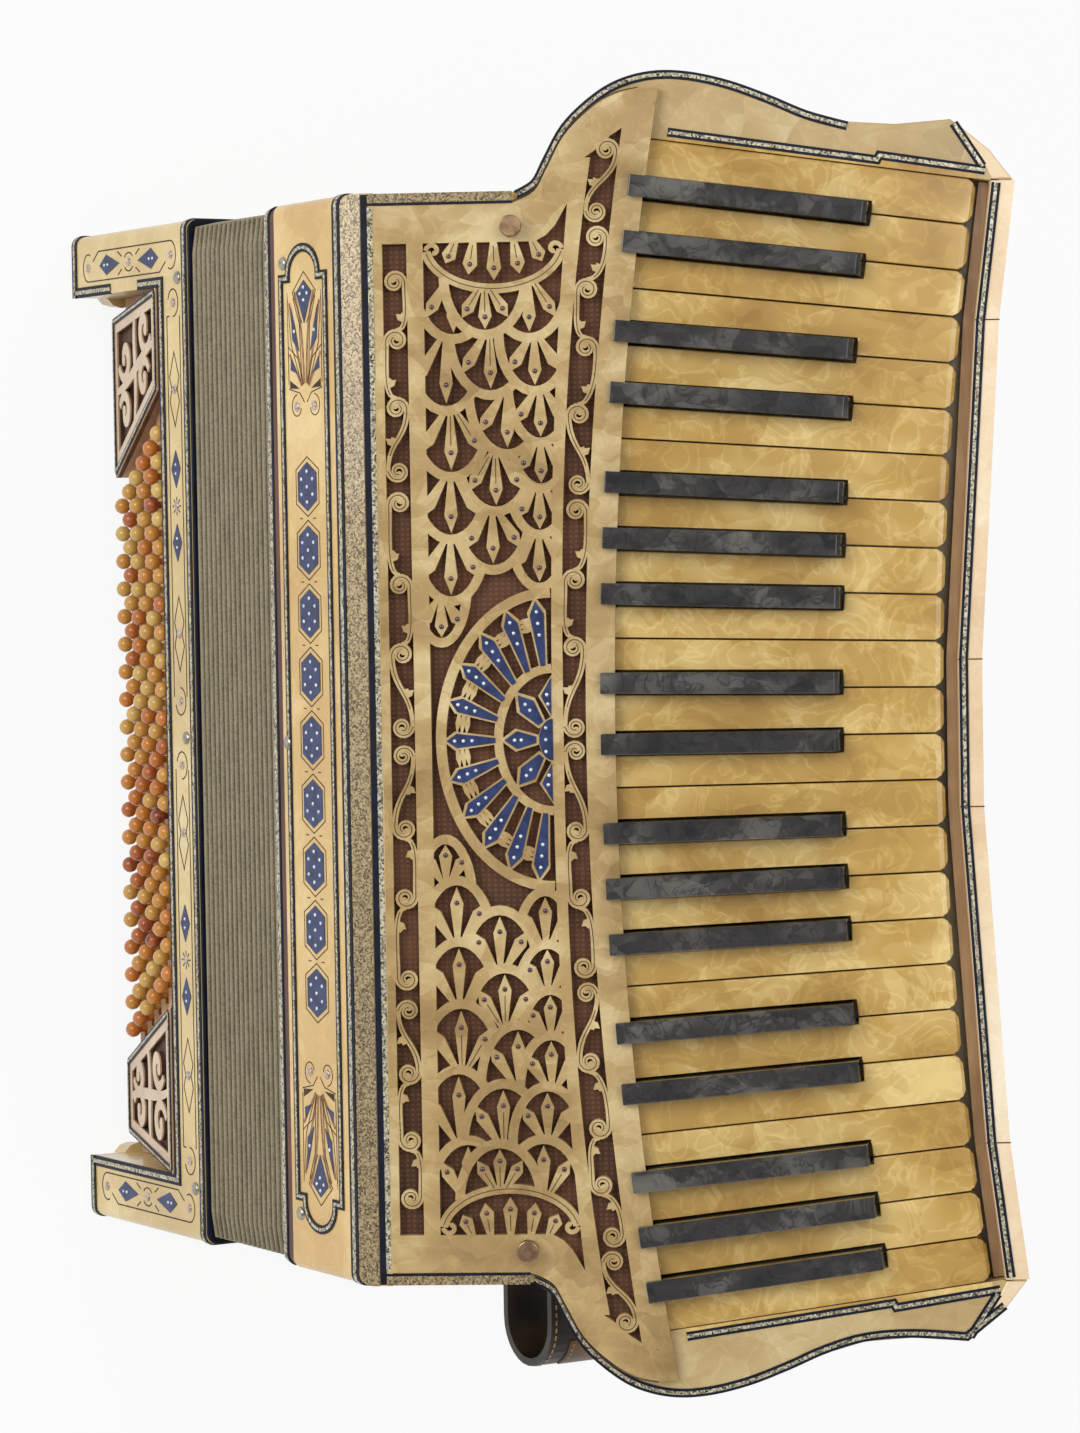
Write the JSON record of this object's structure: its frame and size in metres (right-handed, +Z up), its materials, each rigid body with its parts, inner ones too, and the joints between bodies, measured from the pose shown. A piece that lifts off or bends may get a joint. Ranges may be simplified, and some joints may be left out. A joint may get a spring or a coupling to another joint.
{
  "type": "piano accordion",
  "caption": "Full-size piano accordion with a curved keyboard, pierced grille, folding bellows and rows of bass buttons.",
  "frame": {"origin": "centre of the bounding box's bottom face, on the floor between the feet", "axes": "+Z up along the bellows from the bass side to the treble side; -Y is the front that faces listeners; +X is the low-note end, at the player's chin"},
  "size_m": [0.56, 0.2514, 0.4287],
  "materials": {
    "cream_pearl": "cream pearl celluloid",
    "ivory_pearl": "ivory pearl celluloid",
    "white_key": "amber pearl",
    "black_key": "dark grey pearl",
    "brown_cloth": "brown grille cloth",
    "bellows_cloth": "olive glitter cloth",
    "wood": "pale varnished wood",
    "steel": "bright steel",
    "amber": "amber pearl",
    "black_leather": "black leather"
  },
  "bodies": {
    "bass_side": {"bass_case": "cream_pearl", "bass_cover": "cream_pearl", "bass_button_board": "wood", "bass_hand_strap": "black_leather", "bellows": "bellows_cloth"},
    "treble_side": {"treble_case": "cream_pearl", "key_bed": "cream_pearl", "key_rod": "steel", "key_rail": "cream_pearl", "grille_cloth_board": "brown_cloth", "treble_grille": "ivory_pearl", "shoulder_strap_loop": "black_leather"},
    "white_key_01": {"white_key_01": "white_key"},
    "white_key_02": {"white_key_02": "white_key"},
    "white_key_03": {"white_key_03": "white_key"},
    "white_key_04": {"white_key_04": "white_key"},
    "white_key_05": {"white_key_05": "white_key"},
    "white_key_06": {"white_key_06": "white_key"},
    "white_key_07": {"white_key_07": "white_key"},
    "white_key_08": {"white_key_08": "white_key"},
    "white_key_09": {"white_key_09": "white_key"},
    "white_key_10": {"white_key_10": "white_key"},
    "white_key_11": {"white_key_11": "white_key"},
    "white_key_12": {"white_key_12": "white_key"},
    "white_key_13": {"white_key_13": "white_key"},
    "white_key_14": {"white_key_14": "white_key"},
    "white_key_15": {"white_key_15": "white_key"},
    "white_key_16": {"white_key_16": "white_key"},
    "white_key_17": {"white_key_17": "white_key"},
    "white_key_18": {"white_key_18": "white_key"},
    "white_key_19": {"white_key_19": "white_key"},
    "white_key_20": {"white_key_20": "white_key"},
    "white_key_21": {"white_key_21": "white_key"},
    "white_key_22": {"white_key_22": "white_key"},
    "white_key_23": {"white_key_23": "white_key"},
    "white_key_24": {"white_key_24": "white_key"},
    "black_key_01": {"black_key_01": "black_key"},
    "black_key_02": {"black_key_02": "black_key"},
    "black_key_03": {"black_key_03": "black_key"},
    "black_key_04": {"black_key_04": "black_key"},
    "black_key_05": {"black_key_05": "black_key"},
    "black_key_06": {"black_key_06": "black_key"},
    "black_key_07": {"black_key_07": "black_key"},
    "black_key_08": {"black_key_08": "black_key"},
    "black_key_09": {"black_key_09": "black_key"},
    "black_key_10": {"black_key_10": "black_key"},
    "black_key_11": {"black_key_11": "black_key"},
    "black_key_12": {"black_key_12": "black_key"},
    "black_key_13": {"black_key_13": "black_key"},
    "black_key_14": {"black_key_14": "black_key"},
    "black_key_15": {"black_key_15": "black_key"},
    "black_key_16": {"black_key_16": "black_key"},
    "black_key_17": {"black_key_17": "black_key"},
    "bass_row_1": {"bass_row_1": "amber"},
    "bass_row_2": {"bass_row_2": "amber"},
    "bass_row_3": {"bass_row_3": "amber"},
    "bass_row_4": {"bass_row_4": "amber"},
    "bass_row_5": {"bass_row_5": "amber"},
    "bass_row_6": {"bass_row_6": "amber"},
    "air_button": {"air_button": "amber"}
  },
  "joints": [
    {"name": "bellows_slide", "type": "slide", "parent": "bass_side", "child": "treble_side", "axis": [0, 0, 1], "range_m": [0, 0.28], "deforming": ["bellows"]},
    {"name": "white_key_01_press", "type": "hinge", "parent": "treble_side", "child": "white_key_01", "pos_m": [0.24266, -0.01704, 0.32782], "axis": [-0.9903, -0.1139, -0.0797], "range_deg": [0, 1.8], "stiffness_Nm_per_rad": 1, "springref_deg": -5},
    {"name": "white_key_02_press", "type": "hinge", "parent": "treble_side", "child": "white_key_02", "pos_m": [0.22168, -0.01934, 0.3262], "axis": [-0.9919, -0.104, -0.0728], "range_deg": [0, 1.8], "stiffness_Nm_per_rad": 1, "springref_deg": -5},
    {"name": "white_key_03_press", "type": "hinge", "parent": "treble_side", "child": "white_key_03", "pos_m": [0.20066, -0.02144, 0.32473], "axis": [-0.9934, -0.0941, -0.0659], "range_deg": [0, 1.8], "stiffness_Nm_per_rad": 1, "springref_deg": -5},
    {"name": "white_key_04_press", "type": "hinge", "parent": "treble_side", "child": "white_key_04", "pos_m": [0.17962, -0.02333, 0.32341], "axis": [-0.9947, -0.0843, -0.059], "range_deg": [0, 1.8], "stiffness_Nm_per_rad": 1, "springref_deg": -5},
    {"name": "white_key_05_press", "type": "hinge", "parent": "treble_side", "child": "white_key_05", "pos_m": [0.15855, -0.02501, 0.32223], "axis": [-0.9959, -0.0744, -0.0521], "range_deg": [0, 1.8], "stiffness_Nm_per_rad": 1, "springref_deg": -5},
    {"name": "white_key_06_press", "type": "hinge", "parent": "treble_side", "child": "white_key_06", "pos_m": [0.13746, -0.02648, 0.3212], "axis": [-0.9969, -0.0645, -0.0452], "range_deg": [0, 1.8], "stiffness_Nm_per_rad": 1, "springref_deg": -5},
    {"name": "white_key_07_press", "type": "hinge", "parent": "treble_side", "child": "white_key_07", "pos_m": [0.11634, -0.02774, 0.32032], "axis": [-0.9978, -0.0546, -0.0382], "range_deg": [0, 1.8], "stiffness_Nm_per_rad": 1, "springref_deg": -5},
    {"name": "white_key_08_press", "type": "hinge", "parent": "treble_side", "child": "white_key_08", "pos_m": [0.09521, -0.02879, 0.31959], "axis": [-0.9985, -0.0447, -0.0313], "range_deg": [0, 1.8], "stiffness_Nm_per_rad": 1, "springref_deg": -5},
    {"name": "white_key_09_press", "type": "hinge", "parent": "treble_side", "child": "white_key_09", "pos_m": [0.07407, -0.02963, 0.319], "axis": [-0.9991, -0.0348, -0.0243], "range_deg": [0, 1.8], "stiffness_Nm_per_rad": 1, "springref_deg": -5},
    {"name": "white_key_10_press", "type": "hinge", "parent": "treble_side", "child": "white_key_10", "pos_m": [0.05291, -0.03026, 0.31855], "axis": [-0.9995, -0.0248, -0.0174], "range_deg": [0, 1.8], "stiffness_Nm_per_rad": 1, "springref_deg": -5},
    {"name": "white_key_11_press", "type": "hinge", "parent": "treble_side", "child": "white_key_11", "pos_m": [0.03175, -0.03068, 0.31826], "axis": [-0.9998, -0.0149, -0.0104], "range_deg": [0, 1.8], "stiffness_Nm_per_rad": 1, "springref_deg": -5},
    {"name": "white_key_12_press", "type": "hinge", "parent": "treble_side", "child": "white_key_12", "pos_m": [0.01058, -0.03089, 0.31811], "axis": [-1, -0.005, -0.0035], "range_deg": [0, 1.8], "stiffness_Nm_per_rad": 1, "springref_deg": -5},
    {"name": "white_key_13_press", "type": "hinge", "parent": "treble_side", "child": "white_key_13", "pos_m": [-0.01058, -0.03089, 0.31811], "axis": [-1, 0.005, 0.0035], "range_deg": [0, 1.8], "stiffness_Nm_per_rad": 1, "springref_deg": -5},
    {"name": "white_key_14_press", "type": "hinge", "parent": "treble_side", "child": "white_key_14", "pos_m": [-0.03175, -0.03068, 0.31826], "axis": [-0.9998, 0.0149, 0.0104], "range_deg": [0, 1.8], "stiffness_Nm_per_rad": 1, "springref_deg": -5},
    {"name": "white_key_15_press", "type": "hinge", "parent": "treble_side", "child": "white_key_15", "pos_m": [-0.05291, -0.03026, 0.31855], "axis": [-0.9995, 0.0248, 0.0174], "range_deg": [0, 1.8], "stiffness_Nm_per_rad": 1, "springref_deg": -5},
    {"name": "white_key_16_press", "type": "hinge", "parent": "treble_side", "child": "white_key_16", "pos_m": [-0.07407, -0.02963, 0.319], "axis": [-0.9991, 0.0348, 0.0243], "range_deg": [0, 1.8], "stiffness_Nm_per_rad": 1, "springref_deg": -5},
    {"name": "white_key_17_press", "type": "hinge", "parent": "treble_side", "child": "white_key_17", "pos_m": [-0.09521, -0.02879, 0.31959], "axis": [-0.9985, 0.0447, 0.0313], "range_deg": [0, 1.8], "stiffness_Nm_per_rad": 1, "springref_deg": -5},
    {"name": "white_key_18_press", "type": "hinge", "parent": "treble_side", "child": "white_key_18", "pos_m": [-0.11634, -0.02774, 0.32032], "axis": [-0.9978, 0.0546, 0.0382], "range_deg": [0, 1.8], "stiffness_Nm_per_rad": 1, "springref_deg": -5},
    {"name": "white_key_19_press", "type": "hinge", "parent": "treble_side", "child": "white_key_19", "pos_m": [-0.13746, -0.02648, 0.3212], "axis": [-0.9969, 0.0645, 0.0452], "range_deg": [0, 1.8], "stiffness_Nm_per_rad": 1, "springref_deg": -5},
    {"name": "white_key_20_press", "type": "hinge", "parent": "treble_side", "child": "white_key_20", "pos_m": [-0.15855, -0.02501, 0.32223], "axis": [-0.9959, 0.0744, 0.0521], "range_deg": [0, 1.8], "stiffness_Nm_per_rad": 1, "springref_deg": -5},
    {"name": "white_key_21_press", "type": "hinge", "parent": "treble_side", "child": "white_key_21", "pos_m": [-0.17962, -0.02333, 0.32341], "axis": [-0.9947, 0.0843, 0.059], "range_deg": [0, 1.8], "stiffness_Nm_per_rad": 1, "springref_deg": -5},
    {"name": "white_key_22_press", "type": "hinge", "parent": "treble_side", "child": "white_key_22", "pos_m": [-0.20066, -0.02144, 0.32473], "axis": [-0.9934, 0.0941, 0.0659], "range_deg": [0, 1.8], "stiffness_Nm_per_rad": 1, "springref_deg": -5},
    {"name": "white_key_23_press", "type": "hinge", "parent": "treble_side", "child": "white_key_23", "pos_m": [-0.22168, -0.01934, 0.3262], "axis": [-0.9919, 0.104, 0.0728], "range_deg": [0, 1.8], "stiffness_Nm_per_rad": 1, "springref_deg": -5},
    {"name": "white_key_24_press", "type": "hinge", "parent": "treble_side", "child": "white_key_24", "pos_m": [-0.24266, -0.01704, 0.32782], "axis": [-0.9903, 0.1139, 0.0797], "range_deg": [0, 1.8], "stiffness_Nm_per_rad": 1, "springref_deg": -5},
    {"name": "black_key_01_press", "type": "hinge", "parent": "treble_side", "child": "black_key_01", "pos_m": [0.23448, -0.01796, 0.32717], "axis": [-0.9909, -0.11, -0.077], "range_deg": [0, 1.8], "stiffness_Nm_per_rad": 1, "springref_deg": -5},
    {"name": "black_key_02_press", "type": "hinge", "parent": "treble_side", "child": "black_key_02", "pos_m": [0.21117, -0.02042, 0.32545], "axis": [-0.9927, -0.0991, -0.0694], "range_deg": [0, 1.8], "stiffness_Nm_per_rad": 1, "springref_deg": -5},
    {"name": "black_key_03_press", "type": "hinge", "parent": "treble_side", "child": "black_key_03", "pos_m": [0.18783, -0.02262, 0.32391], "axis": [-0.9942, -0.0881, -0.0617], "range_deg": [0, 1.8], "stiffness_Nm_per_rad": 1, "springref_deg": -5},
    {"name": "black_key_04_press", "type": "hinge", "parent": "treble_side", "child": "black_key_04", "pos_m": [0.15032, -0.02561, 0.32181], "axis": [-0.9963, -0.0705, -0.0494], "range_deg": [0, 1.8], "stiffness_Nm_per_rad": 1, "springref_deg": -5},
    {"name": "black_key_05_press", "type": "hinge", "parent": "treble_side", "child": "black_key_05", "pos_m": [0.12458, -0.02727, 0.32065], "axis": [-0.9975, -0.0585, -0.0409], "range_deg": [0, 1.8], "stiffness_Nm_per_rad": 1, "springref_deg": -5},
    {"name": "black_key_06_press", "type": "hinge", "parent": "treble_side", "child": "black_key_06", "pos_m": [0.08697, -0.02914, 0.31934], "axis": [-0.9988, -0.0408, -0.0286], "range_deg": [0, 1.8], "stiffness_Nm_per_rad": 1, "springref_deg": -5},
    {"name": "black_key_07_press", "type": "hinge", "parent": "treble_side", "child": "black_key_07", "pos_m": [0.06349, -0.02997, 0.31876], "axis": [-0.9993, -0.0298, -0.0209], "range_deg": [0, 1.8], "stiffness_Nm_per_rad": 1, "springref_deg": -5},
    {"name": "black_key_08_press", "type": "hinge", "parent": "treble_side", "child": "black_key_08", "pos_m": [0.04001, -0.03054, 0.31836], "axis": [-0.9997, -0.0188, -0.0131], "range_deg": [0, 1.8], "stiffness_Nm_per_rad": 1, "springref_deg": -5},
    {"name": "black_key_09_press", "type": "hinge", "parent": "treble_side", "child": "black_key_09", "pos_m": [0.00233, -0.03092, 0.3181], "axis": [-1, -0.0011, -0.0008], "range_deg": [0, 1.8], "stiffness_Nm_per_rad": 1, "springref_deg": -5},
    {"name": "black_key_10_press", "type": "hinge", "parent": "treble_side", "child": "black_key_10", "pos_m": [-0.0235, -0.03079, 0.31819], "axis": [-0.9999, 0.011, 0.0077], "range_deg": [0, 1.8], "stiffness_Nm_per_rad": 1, "springref_deg": -5},
    {"name": "black_key_11_press", "type": "hinge", "parent": "treble_side", "child": "black_key_11", "pos_m": [-0.06117, -0.03004, 0.31871], "axis": [-0.9994, 0.0287, 0.0201], "range_deg": [0, 1.8], "stiffness_Nm_per_rad": 1, "springref_deg": -5},
    {"name": "black_key_12_press", "type": "hinge", "parent": "treble_side", "child": "black_key_12", "pos_m": [-0.08464, -0.02924, 0.31927], "axis": [-0.9988, 0.0397, 0.0278], "range_deg": [0, 1.8], "stiffness_Nm_per_rad": 1, "springref_deg": -5},
    {"name": "black_key_13_press", "type": "hinge", "parent": "treble_side", "child": "black_key_13", "pos_m": [-0.10811, -0.02817, 0.32002], "axis": [-0.9981, 0.0507, 0.0355], "range_deg": [0, 1.8], "stiffness_Nm_per_rad": 1, "springref_deg": -5},
    {"name": "black_key_14_press", "type": "hinge", "parent": "treble_side", "child": "black_key_14", "pos_m": [-0.14569, -0.02593, 0.32159], "axis": [-0.9965, 0.0684, 0.0479], "range_deg": [0, 1.8], "stiffness_Nm_per_rad": 1, "springref_deg": -5},
    {"name": "black_key_15_press", "type": "hinge", "parent": "treble_side", "child": "black_key_15", "pos_m": [-0.1714, -0.02401, 0.32293], "axis": [-0.9952, 0.0804, 0.0563], "range_deg": [0, 1.8], "stiffness_Nm_per_rad": 1, "springref_deg": -5},
    {"name": "black_key_16_press", "type": "hinge", "parent": "treble_side", "child": "black_key_16", "pos_m": [-0.20886, -0.02065, 0.32529], "axis": [-0.9928, 0.098, 0.0686], "range_deg": [0, 1.8], "stiffness_Nm_per_rad": 1, "springref_deg": -5},
    {"name": "black_key_17_press", "type": "hinge", "parent": "treble_side", "child": "black_key_17", "pos_m": [-0.23217, -0.01822, 0.32699], "axis": [-0.9911, 0.1089, 0.0763], "range_deg": [0, 1.8], "stiffness_Nm_per_rad": 1, "springref_deg": -5},
    {"name": "bass_row_1_press", "type": "slide", "parent": "bass_side", "child": "bass_row_1", "axis": [0, 1, 0], "range_m": [0, 0.004], "stiffness_N_per_m": 500, "springref_m": -0.004},
    {"name": "bass_row_2_press", "type": "slide", "parent": "bass_side", "child": "bass_row_2", "axis": [0, 1, 0], "range_m": [0, 0.004], "stiffness_N_per_m": 500, "springref_m": -0.004},
    {"name": "bass_row_3_press", "type": "slide", "parent": "bass_side", "child": "bass_row_3", "axis": [0, 1, 0], "range_m": [0, 0.004], "stiffness_N_per_m": 500, "springref_m": -0.004},
    {"name": "bass_row_4_press", "type": "slide", "parent": "bass_side", "child": "bass_row_4", "axis": [0, 1, 0], "range_m": [0, 0.004], "stiffness_N_per_m": 500, "springref_m": -0.004},
    {"name": "bass_row_5_press", "type": "slide", "parent": "bass_side", "child": "bass_row_5", "axis": [0, 1, 0], "range_m": [0, 0.004], "stiffness_N_per_m": 500, "springref_m": -0.004},
    {"name": "bass_row_6_press", "type": "slide", "parent": "bass_side", "child": "bass_row_6", "axis": [0, 1, 0], "range_m": [0, 0.004], "stiffness_N_per_m": 500, "springref_m": -0.004},
    {"name": "air_button_press", "type": "slide", "parent": "bass_side", "child": "air_button", "axis": [0, 0, 1], "range_m": [0, 0.004], "stiffness_N_per_m": 300, "springref_m": -0.006}
  ]
}
